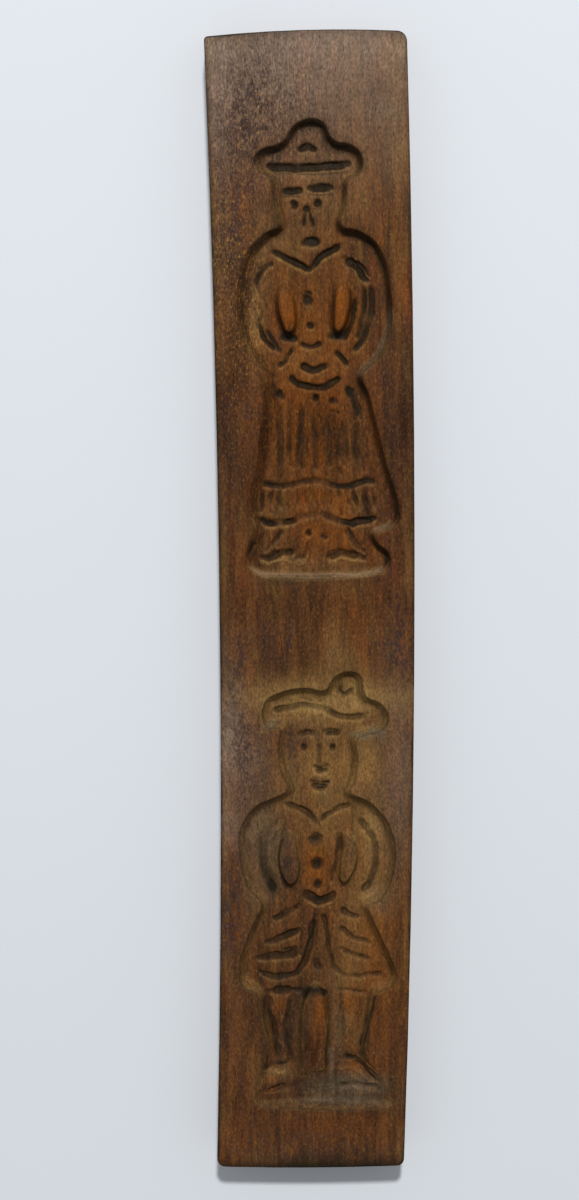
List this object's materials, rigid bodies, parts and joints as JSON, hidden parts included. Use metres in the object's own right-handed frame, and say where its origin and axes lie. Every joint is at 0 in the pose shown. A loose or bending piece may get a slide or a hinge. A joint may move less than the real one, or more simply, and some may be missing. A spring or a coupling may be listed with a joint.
{
  "type": "cookie mold",
  "caption": "Long hand-carved hardwood board with the sunken figures of a woman and a man, for pressing spiced cookie dough.",
  "frame": {"origin": "middle of the board's back, on the surface that it lies on", "axes": "+Z out of the carved face, +Y along the board towards the woman's hat, +X to the right as one looks at the carved face with the woman upright"},
  "size_m": [0.0796, 0.4501, 0.02],
  "materials": {
    "stained_wood": "oiled and worn"
  },
  "bodies": {
    "root": {"mold_board": "stained_wood"}
  },
  "joints": []
}
